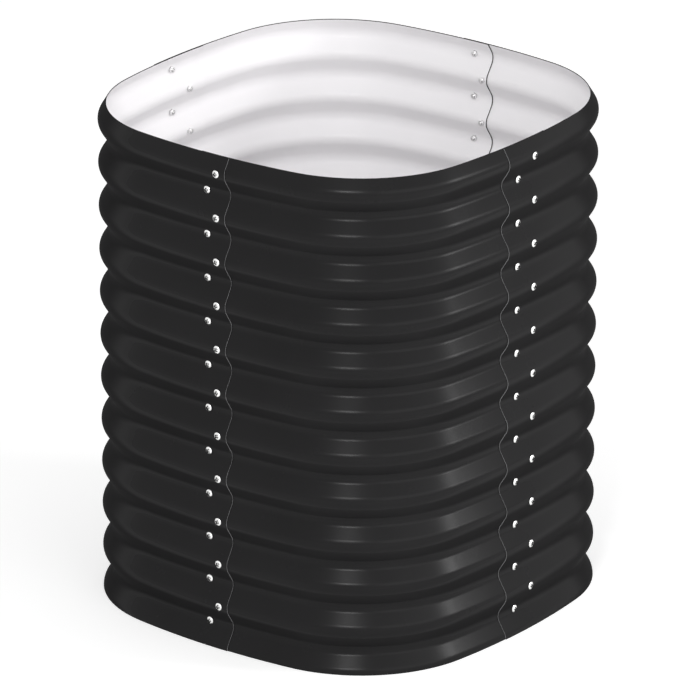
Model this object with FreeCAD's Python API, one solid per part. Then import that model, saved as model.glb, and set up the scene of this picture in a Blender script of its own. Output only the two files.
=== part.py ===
import FreeCAD, Part
import math
import os

os.makedirs("parts", exist_ok=True)

# A tall raised garden bed, open at the top and the bottom. Four corrugated
# corner panels lap over each other in the middle of each side and are screwed
# together there. Millimetres. Z is up, the ground is at z = 0, the bed is
# centred on X = Y = 0 and its sides are square to X and Y.

# ---- driving dimensions -------------------------------------------------
width = 610.0              # over the rib crests, side to side
height = 710.0             # bottom edge to top edge
sheet = 0.8                # sheet thickness
rib_pitch = 62.5           # crest to crest; the bottom edge runs along a crest
rib_depth = 14.0           # crest to valley, on the middle of the sheet
crest_radius = 18.0        # middle of the sheet
valley_radius = 15.0       # middle of the sheet
corner_radius = 183.0      # middle of the sheet, halfway between crest and valley
side_bow_angle = 7.5       # degrees that half of a side turns before the corner
lap_gap = 0.4              # clear gap between two nested sheets at a crest

screw_size = 5.0           # thread diameter
screw_hole = 5.5
hole_to_edge = 15.0        # least height of a screw from the top or bottom edge
screw_length = 8.0         # under the head
head_diameter = 10.5       # low domed head
head_height = 2.5
head_rim = 0.5             # upright edge below the dome
recess_width = 6.0         # cross recess, tip to tip
recess_slot = 2.6
recess_depth = 1.4
nut_flats = 8.0
nut_height = 4.0
nut_hole = 5.2
seat_gap = 0.03            # between two faces that press together
screw_turn = 37.0          # degrees from one screw or nut to the next in its column

# Along each side, measured from its middle and counted counter-clockwise as
# seen from above: where the lap begins, the screws in the valleys, the screws
# on the crests, where the lap ends.
laps = {
    "right": (-39.0, -4.0, 15.5, 52.0),
    "back": (-18.5, -10.0, 13.0, 26.0),
    "left": (-46.0, -11.0, 12.0, 60.0),
    "front": (-17.0, -10.5, 15.0, 28.5),
}
side_turn = {"right": 0.0, "back": 90.0, "left": 180.0, "front": 270.0}

# ---- derived dimensions -------------------------------------------------
lap_step = sheet + lap_gap
panel_shift = lap_step / 2.0
bow = math.radians(side_bow_angle)
half_width = width / 2.0 - rib_depth / 2.0 - sheet / 2.0 - panel_shift
side_radius = (half_width - corner_radius * (math.cos(bow) - math.sin(bow))) / (
    1.0 - math.cos(bow) + math.sin(bow))
side_centre = half_width - side_radius
corner_centre = (side_radius - corner_radius) * math.sin(bow)

rib_count = int(math.ceil(height / rib_pitch))
radius_sum = crest_radius + valley_radius
half_pitch = rib_pitch / 2.0
nut_corner = nut_flats / math.sqrt(3.0)   # middle to corner
flank_angle = (math.asin(radius_sum / math.hypot(half_pitch, radius_sum - rib_depth))
               - math.atan2(radius_sum - rib_depth, half_pitch))


def rotated(shape, degrees):
    turned = shape.copy()
    turned.rotate(FreeCAD.Vector(0, 0, 0), FreeCAD.Vector(0, 0, 1), degrees)
    return turned


# ---- the corrugated section ---------------------------------------------
# The middle line of the sheet runs as crest arcs and valley arcs joined by
# straight flanks. Each face of the sheet is the same line set off by half the
# thickness, so its arcs keep their centres and only change in radius.

def arc_span(kind, number, out):
    """Centre offset, centre height, radius and bulge of one rib arc."""
    if kind == "crest":
        return (rib_depth / 2.0 - crest_radius, number * rib_pitch,
                crest_radius + out, 1.0)
    return (-rib_depth / 2.0 + valley_radius, (number + 0.5) * rib_pitch,
            valley_radius - out, -1.0)


def arc_point(span, angle):
    offset, level, radius, bulge = span
    return (offset + bulge * radius * math.cos(angle), level + radius * math.sin(angle))


def face_line(out):
    """Points and edges of one face of the sheet, from the bottom to the top."""
    runs = []
    for number in range(rib_count):
        low = 0.0 if number == 0 else -flank_angle
        runs.append((arc_span("crest", number, out), low, flank_angle))
        runs.append((arc_span("valley", number, out), -flank_angle, flank_angle))
    edges = []
    last = None
    for span, low, high in runs:
        first = arc_point(span, low)
        if last is not None and last[1] < height:
            stop = first
            if first[1] > height:
                part = (height - last[1]) / (first[1] - last[1])
                stop = (last[0] + part * (first[0] - last[0]), height)
            edges.append(("line", last, stop))
            last = stop
            if stop[1] >= height - 1e-9:
                return edges
        if span[1] + span[2] * math.sin(high) > height:
            high = math.asin((height - span[1]) / span[2])
            edges.append(("arc", first, arc_point(span, (low + high) / 2.0),
                          arc_point(span, high)))
            return edges
        edges.append(("arc", first, arc_point(span, (low + high) / 2.0),
                      arc_point(span, high)))
        last = arc_point(span, high)
    return edges


def on_side(point):
    """A section point put on the middle of the right-hand side (the XZ plane)."""
    return FreeCAD.Vector(half_width + point[0], 0.0, point[1])


def edge_shape(item, backwards):
    points = [on_side(point) for point in item[1:]]
    if backwards:
        points.reverse()
    if item[0] == "line":
        return Part.LineSegment(points[0], points[1]).toShape()
    return Part.Arc(points[0], points[1], points[2]).toShape()


def section_face():
    outer = face_line(sheet / 2.0)
    inner = face_line(-sheet / 2.0)
    loop = [edge_shape(item, False) for item in outer]
    loop.append(edge_shape(("line", outer[-1][-1], inner[-1][-1]), False))
    loop += [edge_shape(item, True) for item in reversed(inner)]
    loop.append(edge_shape(("line", inner[0][1], outer[0][1]), False))
    return Part.Face(Part.Wire(loop))


def turned_about(shape, x, y, radians):
    turned = shape.copy()
    turned.rotate(FreeCAD.Vector(x, y, 0), FreeCAD.Vector(0, 0, 1), math.degrees(radians))
    return turned


def corner_panel(first_edge, last_edge):
    """One panel round the corner between the right side and the back side.

    first_edge and last_edge are the places of its two upright edges, each
    measured counter-clockwise from the middle of its own side.
    """
    section = turned_about(section_face(), side_centre, 0, first_edge / side_radius)
    faces = [section]
    for x, y, angle in ((side_centre, 0, bow - first_edge / side_radius),
                        (corner_centre, corner_centre, math.pi / 2.0 - 2.0 * bow),
                        (0, side_centre, bow + last_edge / side_radius)):
        faces += section.OuterWire.revolve(FreeCAD.Vector(x, y, 0), FreeCAD.Vector(0, 0, 1),
                                           math.degrees(angle)).Faces
        section = turned_about(section, x, y, angle)
    shell = Part.makeShell(faces + [section])
    shell.sewShape()
    panel = Part.makeSolid(shell)
    if panel.Volume < 0:
        panel.reverse()
    return panel


# ---- places on a side ---------------------------------------------------

def placed(shape, side, along, out, level, shift):
    """Turn a shape built along +X so that it stands square on one side.

    along is the distance from the middle of the side, out the distance from
    the line halfway between crest and valley, shift the panel's own step.
    """
    angle = along / side_radius
    radius = side_radius + out
    moved = shape.copy()
    moved.rotate(FreeCAD.Vector(0, 0, 0), FreeCAD.Vector(0, 0, 1), math.degrees(angle))
    moved.translate(FreeCAD.Vector(side_centre + shift + radius * math.cos(angle),
                                   radius * math.sin(angle), level))
    return rotated(moved, side_turn[side])


def screw_levels(lowest):
    """Heights of one screw column that starts on the rib line at lowest."""
    levels = [lowest + number * rib_pitch for number in range(rib_count)]
    return [level for level in levels if hole_to_edge <= level <= height - hole_to_edge]


crest_levels = screw_levels(0.0)
valley_levels = screw_levels(rib_pitch / 2.0)


# ---- fasteners, each built along +X with its seat at X = 0 --------------

def cylinder(radius, start, length):
    return Part.makeCylinder(radius, length, FreeCAD.Vector(start, 0, 0),
                             FreeCAD.Vector(1, 0, 0))


def screw():
    dome = head_height - head_rim
    sphere_radius = ((head_diameter / 2.0) ** 2 + dome ** 2) / (2.0 * dome)
    head = cylinder(head_diameter / 2.0, 0.0, head_height)
    ball = Part.makeSphere(sphere_radius, FreeCAD.Vector(head_height - sphere_radius, 0, 0))
    head = head.common(ball)
    for across, tall in ((recess_width, recess_slot), (recess_slot, recess_width)):
        head = head.cut(Part.makeBox(recess_depth, across, tall, FreeCAD.Vector(
            head_height - recess_depth, -across / 2.0, -tall / 2.0)))
    tip = screw_size * 0.1
    shank = cylinder(screw_size / 2.0, tip - screw_length, screw_length - tip)
    point = Part.makeCone(screw_size / 2.0 - tip, screw_size / 2.0, tip,
                          FreeCAD.Vector(-screw_length, 0, 0), FreeCAD.Vector(1, 0, 0))
    return head.fuse([shank, point]).removeSplitter()


def nut():
    points = []
    for number in range(7):
        angle = math.radians(60.0 * number)
        points.append(FreeCAD.Vector(-nut_height, nut_corner * math.cos(angle),
                                     nut_corner * math.sin(angle)))
    prism = Part.Face(Part.makePolygon(points)).extrude(FreeCAD.Vector(nut_height, 0, 0))
    chamfer_start = nut_flats * 0.475
    cone = Part.makeCone(chamfer_start, chamfer_start + nut_height * math.sqrt(3.0),
                         nut_height, FreeCAD.Vector(-nut_height, 0, 0),
                         FreeCAD.Vector(1, 0, 0))
    return prism.common(cone).cut(cylinder(nut_hole / 2.0, -nut_height - 1.0,
                                           nut_height + 2.0))


# ---- seats --------------------------------------------------------------
# A flat round seat over a hollow rib rests on its upper and lower rim, and
# over a bulging rib on the line along its top.

def hollow_rise(radius, seat_radius):
    return radius - math.sqrt(radius ** 2 - seat_radius ** 2)


crest_head_seat = rib_depth / 2.0 + sheet / 2.0 + seat_gap
valley_head_seat = (-rib_depth / 2.0 + sheet / 2.0 + seat_gap
                    + hollow_rise(valley_radius - sheet / 2.0, head_diameter / 2.0))
crest_nut_seat = (rib_depth / 2.0 - sheet / 2.0 - seat_gap
                  - hollow_rise(crest_radius - sheet / 2.0, nut_corner))
valley_nut_seat = -rib_depth / 2.0 - sheet / 2.0 - seat_gap

# ---- panels -------------------------------------------------------------
# A panel lies over or under its neighbours, so it is stepped half a lap
# outwards (+1) or inwards (-1) at each of its two sides.
panels = {
    "corner_panel_back_right": ("right", "back", 1, 1),
    "corner_panel_back_left": ("back", "left", -1, 1),
    "corner_panel_front_left": ("left", "front", -1, 1),
    "corner_panel_front_right": ("front", "right", -1, -1),
}

for name, (side_a, side_b, step_a, step_b) in panels.items():
    panel = corner_panel(laps[side_a][0], laps[side_b][3])
    panel.translate(FreeCAD.Vector(step_a * panel_shift, step_b * panel_shift, 0))
    panel = rotated(panel, side_turn[side_a])
    drills = []
    for side, step in ((side_a, step_a), (side_b, step_b)):
        for along, levels in ((laps[side][1], valley_levels),
                              (laps[side][2], crest_levels)):
            for level in levels:
                drill = cylinder(screw_hole / 2.0, -rib_depth, 2.0 * rib_depth)
                drills.append(placed(drill, side, along, 0.0, level, 0.0))
    panel.cut(drills).exportStep("parts/" + name + ".step")

# ---- fasteners in each seam ---------------------------------------------
one_screw, one_nut = screw(), nut()
for side in laps:
    for rib, along, levels, head_seat, nut_seat in (
            ("crest", laps[side][2], crest_levels, crest_head_seat, crest_nut_seat),
            ("valley", laps[side][1], valley_levels, valley_head_seat, valley_nut_seat)):
        for piece, body, seat, shift in (("screws", one_screw, head_seat, panel_shift),
                                         ("nuts", one_nut, nut_seat, -panel_shift)):
            group = []
            for number, level in enumerate(levels):
                turned = body.copy()
                turned.rotate(FreeCAD.Vector(0, 0, 0), FreeCAD.Vector(1, 0, 0),
                              number * screw_turn)
                group.append(placed(turned, side, along, seat, level, shift))
            Part.makeCompound(group).exportStep(
                "parts/" + side + "_seam_" + rib + "_" + piece + ".step")
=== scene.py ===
import bmesh
import bpy
import math
from mathutils import Matrix, Vector


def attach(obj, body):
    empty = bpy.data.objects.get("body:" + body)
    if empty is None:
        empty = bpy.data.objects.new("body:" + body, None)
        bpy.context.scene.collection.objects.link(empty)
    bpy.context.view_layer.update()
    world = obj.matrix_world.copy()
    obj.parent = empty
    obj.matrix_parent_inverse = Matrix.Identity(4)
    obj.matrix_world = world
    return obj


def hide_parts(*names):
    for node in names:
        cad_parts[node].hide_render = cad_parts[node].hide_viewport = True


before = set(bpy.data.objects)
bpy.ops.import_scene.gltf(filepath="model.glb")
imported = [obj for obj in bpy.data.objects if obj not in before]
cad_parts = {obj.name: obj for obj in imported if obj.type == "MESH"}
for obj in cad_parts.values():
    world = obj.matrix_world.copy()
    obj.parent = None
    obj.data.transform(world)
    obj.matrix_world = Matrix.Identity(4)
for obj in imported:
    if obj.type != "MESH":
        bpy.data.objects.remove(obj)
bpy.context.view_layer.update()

# ---------------------------------------------------------------------------
# Camera. It stands well back with a long lens and looks down a little over
# the front right corner. Its lens and shift are sized in pixels of the frame.
# ---------------------------------------------------------------------------
bed_height = 0.710
camera_turn = 0.665
camera_rise = 0.370
camera_distance = 9.855
sensor_width = 36.0
frame_pixels = 696
lens_pixels = 7156
shift_pixels = (-0.3, -8.2)


def look_at_bed(viewer, turn, rise, distance):
    """Place a camera or lamp, turned from the front and raised above level, facing the bed's middle."""
    toward = Vector((math.sin(turn) * math.cos(rise), -math.cos(turn) * math.cos(rise), math.sin(rise)))
    viewer.location = Vector((0, 0, bed_height / 2)) + toward * distance
    viewer.rotation_euler = toward.to_track_quat("Z", "Y").to_euler()


camera = bpy.data.objects.new("camera", bpy.data.cameras.new("camera"))
bpy.context.scene.collection.objects.link(camera)
bpy.context.scene.camera = camera
look_at_bed(camera, camera_turn, camera_rise, camera_distance)
camera.data.sensor_width = sensor_width
camera.data.lens = sensor_width * lens_pixels / frame_pixels
camera.data.shift_x = shift_pixels[0] / frame_pixels
camera.data.shift_y = shift_pixels[1] / frame_pixels
camera.data.clip_end = 100.0

# ---------------------------------------------------------------------------
# Corner panels. Each is one roll-formed steel sheet with ribs running round
# it, bent to a wide corner and coated charcoal outside and white inside. Its
# two upright edges lap over or under the panels beside it.
# ---------------------------------------------------------------------------
width_over_ribs = 0.610
sheet = 0.0008
rib_count = 12
rib_pitch = 0.0625
rib_depth = 0.014
crest_radius = 0.018
valley_radius = 0.015
corner_radius = 0.183
# Each side is bowed by this angle, either way from its middle.
bow = math.radians(7.5)
# From the middle of one sheet to the middle of the one that it laps.
lap_step = 0.0012
# The outside coat wraps over the top rim and round the lap edges, on faces about this wide.
rim_wrap = 0.0005
lap_wrap = 0.001
# Where each lap begins and ends, counter-clockwise from the middle of its side.
laps = {"right": (-0.039, 0.052), "back": (-0.0185, 0.026),
        "left": (-0.046, 0.060), "front": (-0.017, 0.0285)}
quarter_turns = {"right": 0, "back": 1, "left": 2, "front": 3}

half_width = width_over_ribs / 2 - rib_depth / 2 - sheet / 2 - lap_step / 2
side_radius = (half_width - corner_radius * (math.cos(bow) - math.sin(bow))) / (
    1 - math.cos(bow) + math.sin(bow))
side_centre = half_width - side_radius
corner_centre = (side_radius - corner_radius) * math.sin(bow)
# Straight flanks join the rounds of crest and valley, leaning this far from upright.
radius_sum = crest_radius + valley_radius
flank_angle = (math.asin(radius_sum / math.hypot(rib_pitch / 2, radius_sum - rib_depth))
               - math.atan2(radius_sum - rib_depth, rib_pitch / 2))
flank_rise = rib_pitch / 2 - radius_sum * math.sin(flank_angle)
flank_slope = flank_rise * math.tan(flank_angle)
# Straight steps in each crest or valley, in half a side, and round a corner.
bend_steps = 10
side_steps = 12
corner_steps = 40


def add_sockets(group, way, sockets):
    """Name a node group's inputs or outputs, each with its kind of socket."""
    for name, kind in sockets.items():
        group.interface.new_socket(name, in_out=way, socket_type="NodeSocket" + kind)


def powder_coat_group():
    """Fine bumps of a baked powder coat, and slow changes of tone and gloss."""
    group = bpy.data.node_groups.new("powder_coat_surface", "ShaderNodeTree")
    add_sockets(group, "INPUT", {"Grain Scale": "Float", "Smoothest": "Float", "Roughest": "Float",
                                 "Dark Tone": "Color", "Light Tone": "Color"})
    add_sockets(group, "OUTPUT", {"Color": "Color", "Roughness": "Float", "Height": "Float"})
    node, link = group.nodes.new, group.links.new
    given, put = node("NodeGroupInput"), node("NodeGroupOutput")
    place = node("ShaderNodeTexCoord")
    grain = node("ShaderNodeTexNoise")
    grain.inputs["Detail"].default_value = 2.0
    link(place.outputs["Object"], grain.inputs["Vector"])
    link(given.outputs["Grain Scale"], grain.inputs["Scale"])
    link(grain.outputs["Fac"], put.inputs["Height"])
    slow = node("ShaderNodeTexNoise")
    slow.inputs["Scale"].default_value = 7.0
    slow.inputs["Detail"].default_value = 5.0
    link(place.outputs["Object"], slow.inputs["Vector"])
    patches = node("ShaderNodeMapRange")
    patches.inputs["From Min"].default_value = 0.3
    patches.inputs["From Max"].default_value = 0.7
    link(slow.outputs["Fac"], patches.inputs["Value"])
    tone = node("ShaderNodeMix")
    tone.data_type = "RGBA"
    link(patches.outputs["Result"], tone.inputs["Factor"])
    link(given.outputs["Dark Tone"], tone.inputs["A"])
    link(given.outputs["Light Tone"], tone.inputs["B"])
    link(tone.outputs["Result"], put.inputs["Color"])
    smear = node("ShaderNodeTexNoise")
    smear.inputs["Scale"].default_value = 23.0
    smear.inputs["Detail"].default_value = 6.0
    smear.inputs["Roughness"].default_value = 0.6
    link(place.outputs["Object"], smear.inputs["Vector"])
    gloss = node("ShaderNodeMapRange")
    gloss.inputs["From Min"].default_value = 0.3
    gloss.inputs["From Max"].default_value = 0.7
    link(smear.outputs["Fac"], gloss.inputs["Value"])
    link(given.outputs["Smoothest"], gloss.inputs["To Min"])
    link(given.outputs["Roughest"], gloss.inputs["To Max"])
    link(gloss.outputs["Result"], put.inputs["Roughness"])
    return group


powder_coat_surface = powder_coat_group()


def bumped(tree, height, strength, distance):
    """Let a height show on a material's shader as fine bumps."""
    fine = tree.nodes.new("ShaderNodeBump")
    fine.inputs["Strength"].default_value = strength
    fine.inputs["Distance"].default_value = distance
    tree.links.new(height, fine.inputs["Height"])
    tree.links.new(fine.outputs["Normal"], tree.nodes["Principled BSDF"].inputs["Normal"])


def coated(name, dark, light, shine, rough, grazing_rough, grain_scale, bump):
    """A baked coat: its tones and shine, its roughness straight on and at a low angle, and its grain."""
    material = bpy.data.materials.new(name)
    material.use_nodes = True
    tree = material.node_tree
    node, link = tree.nodes.new, tree.links.new
    shader = tree.nodes["Principled BSDF"]
    shader.inputs["Specular IOR Level"].default_value = shine
    surface = node("ShaderNodeGroup")
    surface.node_tree = powder_coat_surface
    surface.inputs["Grain Scale"].default_value = grain_scale
    surface.inputs["Smoothest"].default_value, surface.inputs["Roughest"].default_value = rough
    surface.inputs["Dark Tone"].default_value = (*dark, 1)
    surface.inputs["Light Tone"].default_value = (*light, 1)
    link(surface.outputs["Color"], shader.inputs["Base Color"])
    facing = node("ShaderNodeLayerWeight")
    turned = node("ShaderNodeMapRange")
    turned.interpolation_type = "SMOOTHSTEP"
    turned.inputs["From Min"].default_value = 0.32
    turned.inputs["From Max"].default_value = 0.62
    link(facing.outputs["Facing"], turned.inputs["Value"])
    fade = node("ShaderNodeMix")
    fade.inputs["B"].default_value = grazing_rough
    link(turned.outputs["Result"], fade.inputs["Factor"])
    link(surface.outputs["Roughness"], fade.inputs["A"])
    link(fade.outputs["Result"], shader.inputs["Roughness"])
    bumped(tree, surface.outputs["Height"], bump, 0.0002)
    return material


charcoal_coat = coated("charcoal_coat", dark=(0.0128, 0.0125, 0.0129), light=(0.0152, 0.0149, 0.0154),
                       shine=0.085, rough=(0.24, 0.28), grazing_rough=1.0, grain_scale=1400.0, bump=0.15)
white_coat = coated("white_coat", dark=(0.92, 0.905, 0.92), light=(0.94, 0.925, 0.94),
                    shine=0.3, rough=(0.36, 0.44), grazing_rough=0.6, grain_scale=1400.0, bump=0.15)
bare_edge = coated("bare_edge", dark=(0.26, 0.26, 0.265), light=(0.34, 0.34, 0.345),
                   shine=0.5, rough=(0.30, 0.42), grazing_rough=0.42, grain_scale=2200.0, bump=0.3)
coated_edge = coated("coated_edge", dark=(0.012, 0.012, 0.012), light=(0.02, 0.02, 0.02),
                     shine=0.2, rough=(0.4, 0.5), grazing_rough=0.8, grain_scale=2200.0, bump=0.3)
# The order of a panel's materials.
outside, inside, cut_edge = 0, 1, 2


def rib_section(mesh):
    """The ribbed line of the sheet's outer face, drawn upwards on the XZ plane."""
    face = half_width + sheet / 2
    start = Vector((face + rib_depth / 2 - crest_radius * (1 - math.cos(flank_angle)),
                    0, -crest_radius * math.sin(flank_angle)))
    tip = bmesh.ops.create_vert(mesh, co=start)["vert"]
    for number in range(rib_count):
        crest = Vector((face + rib_depth / 2 - crest_radius, 0, number * rib_pitch))
        valley = Vector((face - rib_depth / 2 + valley_radius, 0, (number + 0.5) * rib_pitch))
        for bend, middle in ((-1, crest), (1, valley)):
            turned = bmesh.ops.spin(mesh, geom=tip, cent=middle, axis=(0, 1, 0),
                                    angle=bend * 2 * flank_angle, steps=bend_steps)
            tip = [part for part in turned["geom_last"] if isinstance(part, bmesh.types.BMVert)]
            tip = bmesh.ops.extrude_vert_indiv(mesh, verts=tip)["verts"]
            bmesh.ops.translate(mesh, verts=tip, vec=(bend * flank_slope, 0, flank_rise))
    # The line is cut off at the ground and the rim, and only split where the coat over the rim ends.
    for level, away, clear in ((0.0, -1, True), (bed_height, 1, True), (bed_height - rim_wrap, 1, False)):
        bmesh.ops.bisect_plane(mesh, geom=mesh.verts[:] + mesh.edges[:], dist=1e-7,
                               plane_co=(0, 0, level), plane_no=(0, 0, away), clear_outer=clear)


def corner_panel(name, first_side, second_side, first_step, second_step, edge):
    """One panel, from its lap on the first side round the corner to the second."""
    mesh = bmesh.new()
    rib_section(mesh)
    first_turn = laps[first_side][0] / side_radius
    second_turn = laps[second_side][1] / side_radius
    wrap_turn = lap_wrap / side_radius
    bmesh.ops.rotate(mesh, verts=mesh.verts[:], cent=(side_centre, 0, 0),
                     matrix=Matrix.Rotation(first_turn, 3, "Z"))
    line = mesh.edges[:] + mesh.verts[:]
    for centre, angle, steps in (((side_centre, 0, 0), wrap_turn, 1),
                                 ((side_centre, 0, 0), bow - first_turn - wrap_turn, side_steps),
                                 ((corner_centre, corner_centre, 0), math.pi / 2 - 2 * bow, corner_steps),
                                 ((0, side_centre, 0), bow + second_turn, side_steps)):
        line = bmesh.ops.spin(mesh, geom=line, cent=centre, axis=(0, 0, 1),
                              angle=angle, steps=steps)["geom_last"]
    bmesh.ops.translate(mesh, verts=mesh.verts[:],
                        vec=(first_step * lap_step / 2, second_step * lap_step / 2, 0))
    bmesh.ops.recalc_face_normals(mesh, faces=mesh.faces[:])
    probe = mesh.faces[0]
    if probe.normal.xy.dot(probe.calc_center_median().xy) < 0:
        bmesh.ops.reverse_faces(mesh, faces=mesh.faces[:])
    skin = bpy.data.meshes.new(name)
    mesh.to_mesh(skin)
    mesh.free()
    for material in (charcoal_coat, white_coat, edge):
        skin.materials.append(material)
    panel = bpy.data.objects.new(name, skin)
    bpy.context.scene.collection.objects.link(panel)
    wall = panel.modifiers.new("thickness", "SOLIDIFY")
    wall.thickness = sheet
    wall.offset = -1
    wall.use_even_offset = True
    wall.material_offset = inside
    wall.material_offset_rim = cut_edge
    solid = bpy.data.meshes.new_from_object(panel.evaluated_get(bpy.context.evaluated_depsgraph_get()))
    panel.modifiers.clear()
    panel.data = solid
    # The wall grows square to the ribs, so the points near the ground and the rim are made level.
    for point in solid.vertices:
        for level in (0.0, bed_height):
            if abs(point.co.z - level) < rim_wrap:
                point.co.z = level
    # The charcoal coat wraps a little way over the rims, and over the coated lap edges.
    lap_end = laps[first_side][0] + second_step * lap_step / 2 + lap_wrap
    for face in solid.polygons:
        on_rim = abs(face.normal.z) > 0.9 or face.center.z > bed_height - 2 * rim_wrap
        if on_rim or (edge is coated_edge and face.center.y < lap_end):
            face.material_index = outside
    solid.transform(Matrix.Rotation(math.pi / 2 * quarter_turns[first_side], 4, "Z"))
    solid.shade_smooth()
    solid.set_sharp_from_angle(angle=math.radians(40))
    return panel


# After its two sides comes each end's step: 1 where it laps over its neighbour, -1 where under.
for name, first_side, second_side, first_step, second_step, edge in (
        ("front_right", "front", "right", -1, -1, coated_edge),
        ("back_right", "right", "back", 1, 1, bare_edge),
        ("back_left", "back", "left", -1, 1, coated_edge),
        ("front_left", "left", "front", -1, 1, bare_edge)):
    panel = corner_panel("panel_" + name, first_side, second_side, first_step, second_step, edge)
    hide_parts("corner_panel_" + name)
    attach(panel, "root")

# ---------------------------------------------------------------------------
# Screws. Low-domed heads with a cross recess, in bright zinc plate, in two
# columns up each seam: one through the rib crests and one through the valleys.
# ---------------------------------------------------------------------------
rib_rows = ("crest", "valley")


def zinc_plate_group():
    """Bright zinc plate, a little cloudy and finely scuffed, with painted shade where its shape is
    hollow.
    """
    group = bpy.data.node_groups.new("zinc_plate_and_painted_shade", "ShaderNodeTree")
    add_sockets(group, "INPUT", {"Cloudy Tone": "Color", "Clear Tone": "Color", "Painted Shade Tone": "Color",
                                 "Openness": "Float", "Hollow Below": "Float", "Open Above": "Float",
                                 "Smoothest": "Float", "Roughest": "Float"})
    add_sockets(group, "OUTPUT", {"Color": "Color", "Roughness": "Float", "Height": "Float"})
    node, link = group.nodes.new, group.links.new
    given, put = node("NodeGroupInput"), node("NodeGroupOutput")
    place = node("ShaderNodeTexCoord")
    cloud = node("ShaderNodeTexNoise")
    cloud.inputs["Scale"].default_value = 160.0
    cloud.inputs["Detail"].default_value = 4.0
    link(place.outputs["Object"], cloud.inputs["Vector"])
    tone = node("ShaderNodeMix")
    tone.data_type = "RGBA"
    link(cloud.outputs["Fac"], tone.inputs["Factor"])
    link(given.outputs["Cloudy Tone"], tone.inputs["A"])
    link(given.outputs["Clear Tone"], tone.inputs["B"])
    # Painted shade: where the occlusion finds the shape hollow, the plate is mixed toward the painted
    # shade tone.
    unshaded = node("ShaderNodeMapRange")
    link(given.outputs["Openness"], unshaded.inputs["Value"])
    link(given.outputs["Hollow Below"], unshaded.inputs["From Min"])
    link(given.outputs["Open Above"], unshaded.inputs["From Max"])
    painted_shade_mix = node("ShaderNodeMix")
    painted_shade_mix.data_type = "RGBA"
    link(unshaded.outputs["Result"], painted_shade_mix.inputs["Factor"])
    link(given.outputs["Painted Shade Tone"], painted_shade_mix.inputs["A"])
    link(tone.outputs["Result"], painted_shade_mix.inputs["B"])
    link(painted_shade_mix.outputs["Result"], put.inputs["Color"])
    gloss = node("ShaderNodeMapRange")
    gloss.inputs["From Min"].default_value = 0.3
    gloss.inputs["From Max"].default_value = 0.7
    link(cloud.outputs["Fac"], gloss.inputs["Value"])
    link(given.outputs["Smoothest"], gloss.inputs["To Min"])
    link(given.outputs["Roughest"], gloss.inputs["To Max"])
    link(gloss.outputs["Result"], put.inputs["Roughness"])
    scuff = node("ShaderNodeTexNoise")
    scuff.inputs["Scale"].default_value = 1800.0
    link(place.outputs["Object"], scuff.inputs["Vector"])
    link(scuff.outputs["Fac"], put.inputs["Height"])
    return group


zinc_plate_and_painted_shade = zinc_plate_group()


def plated(name, tone, painted_shade_tone, hollow_reach, own_shape_only, openness, rough):
    """Zinc plate for small parts: its tone, the painted shade in its hollows, and its roughness."""
    material = bpy.data.materials.new(name)
    material.use_nodes = True
    tree = material.node_tree
    node, link = tree.nodes.new, tree.links.new
    shader = tree.nodes["Principled BSDF"]
    shader.inputs["Metallic"].default_value = 1.0
    # Ambient occlusion finds the hollows that get the painted shade.
    hollow = node("ShaderNodeAmbientOcclusion")
    hollow.samples = 16
    hollow.only_local = own_shape_only
    hollow.inputs["Distance"].default_value = hollow_reach
    surface = node("ShaderNodeGroup")
    surface.node_tree = zinc_plate_and_painted_shade
    surface.inputs["Cloudy Tone"].default_value = (*(0.9 * part for part in tone), 1)
    surface.inputs["Clear Tone"].default_value = (*tone, 1)
    surface.inputs["Painted Shade Tone"].default_value = (*painted_shade_tone, 1)
    surface.inputs["Hollow Below"].default_value, surface.inputs["Open Above"].default_value = openness
    surface.inputs["Smoothest"].default_value, surface.inputs["Roughest"].default_value = rough
    link(hollow.outputs["AO"], surface.inputs["Openness"])
    link(surface.outputs["Color"], shader.inputs["Base Color"])
    link(surface.outputs["Roughness"], shader.inputs["Roughness"])
    bumped(tree, surface.outputs["Height"], 0.15, 0.0001)
    return material


# Near-black painted shade fills the cross recess of each head.
screw_plate = plated("screw_plate", tone=(0.92, 0.92, 0.91), painted_shade_tone=(0.02, 0.02, 0.02),
                     hollow_reach=0.005, own_shape_only=True, openness=(0.78, 0.97), rough=(0.22, 0.32))


def finish_fasteners(kind, material):
    """Give a plate to the screws or nuts of all the seams."""
    for side in quarter_turns:
        for row in rib_rows:
            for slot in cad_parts[side + "_seam_" + row + "_" + kind].material_slots:
                slot.material = material


finish_fasteners("screws", screw_plate)

# ---------------------------------------------------------------------------
# Nuts. Plain hex nuts in the same plate, a little rougher. One on the end of
# every screw, inside the bed, holds the two lapped sheets together.
# ---------------------------------------------------------------------------
# Painted shade darkens the nuts' own hollows and where they meet the sheet.
nut_plate = plated("nut_plate", tone=(0.94, 0.94, 0.94), painted_shade_tone=(0.12, 0.12, 0.12),
                   hollow_reach=0.0025, own_shape_only=False, openness=(0.4, 0.9), rough=(0.30, 0.42))
finish_fasteners("nuts", nut_plate)

# ---------------------------------------------------------------------------
# Studio. A plain white floor, an even sky, and three soft lamps: a wide one
# that fills the right side, and two smaller ones that draw bright streaks
# along the ribs.
# ---------------------------------------------------------------------------
floor_reach = 30.0
floor_tone = 0.92
floor_lift = 0.40
sky_light = 0.56
sky_seen = 1.0


def seen_ray(nodes, links):
    """1 for rays from the camera, or by way of a reflection or glass, else 0."""
    path = nodes.new("ShaderNodeLightPath")
    total = path.outputs["Is Camera Ray"]
    for name in ("Is Glossy Ray", "Is Transmission Ray"):
        either = nodes.new("ShaderNodeMath")
        either.operation = "MAXIMUM"
        links.new(total, either.inputs[0])
        links.new(path.outputs[name], either.inputs[1])
        total = either.outputs["Value"]
    return total


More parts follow.
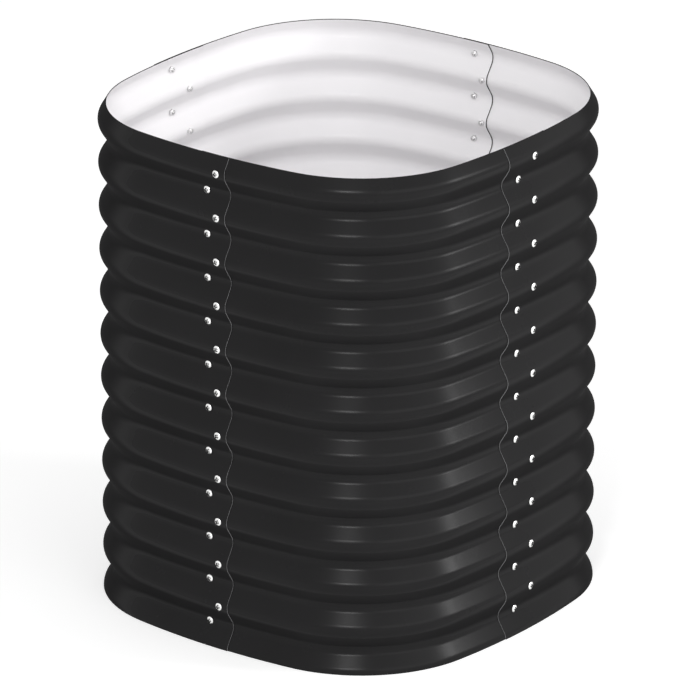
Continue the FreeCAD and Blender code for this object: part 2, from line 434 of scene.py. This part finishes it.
def soft_lamp(name, turn, rise, distance, size, watts):
    """A rectangular lamp, turned and raised by degrees, that faces the bed."""
    lamp = bpy.data.objects.new(name, bpy.data.lights.new(name, "AREA"))
    bpy.context.scene.collection.objects.link(lamp)
    lamp.data.shape = "RECTANGLE"
    lamp.data.size, lamp.data.size_y = size
    lamp.data.energy = watts
    look_at_bed(lamp, math.radians(turn), math.radians(rise), distance)


ground = bmesh.new()
bmesh.ops.create_grid(ground, x_segments=1, y_segments=1, size=floor_reach)
floor_mesh = bpy.data.meshes.new("floor")
ground.to_mesh(floor_mesh)
ground.free()
floor = bpy.data.objects.new("floor", floor_mesh)
bpy.context.scene.collection.objects.link(floor)

floor_paint = bpy.data.materials.new("floor_paint")
floor_paint.use_nodes = True
floor_mesh.materials.append(floor_paint)
floor_nodes, floor_links = floor_paint.node_tree.nodes, floor_paint.node_tree.links
floor_shader = floor_nodes["Principled BSDF"]
floor_shader.inputs["Base Color"].default_value = (floor_tone, floor_tone, floor_tone, 1)
floor_shader.inputs["Roughness"].default_value = 1.0
floor_shader.inputs["Specular IOR Level"].default_value = 0.0
floor_shader.inputs["Emission Color"].default_value = (1, 1, 1, 1)
lift = floor_nodes.new("ShaderNodeMath")
lift.operation = "MULTIPLY"
lift.inputs[1].default_value = floor_lift
floor_links.new(seen_ray(floor_nodes, floor_links), lift.inputs[0])
floor_links.new(lift.outputs["Value"], floor_shader.inputs["Emission Strength"])

sky = bpy.data.worlds.new("sky")
bpy.context.scene.world = sky
sky.use_nodes = True
sky_nodes, sky_links = sky.node_tree.nodes, sky.node_tree.links
backdrop = sky_nodes["Background"]
backdrop.inputs["Color"].default_value = (1, 1, 1, 1)
strength = sky_nodes.new("ShaderNodeMapRange")
strength.inputs["To Min"].default_value = sky_light
strength.inputs["To Max"].default_value = sky_seen
sky_links.new(seen_ray(sky_nodes, sky_links), strength.inputs["Value"])
sky_links.new(strength.outputs["Result"], backdrop.inputs["Strength"])

soft_lamp("side_lamp", turn=117, rise=20, distance=4.0, size=(0.8, 0.75), watts=39)
soft_lamp("fill_lamp", turn=80, rise=20, distance=5.0, size=(5.0, 2.0), watts=52)
soft_lamp("front_lamp", turn=27, rise=28, distance=6.0, size=(1.4, 0.35), watts=113)

bpy.context.scene.view_settings.view_transform = "Standard"
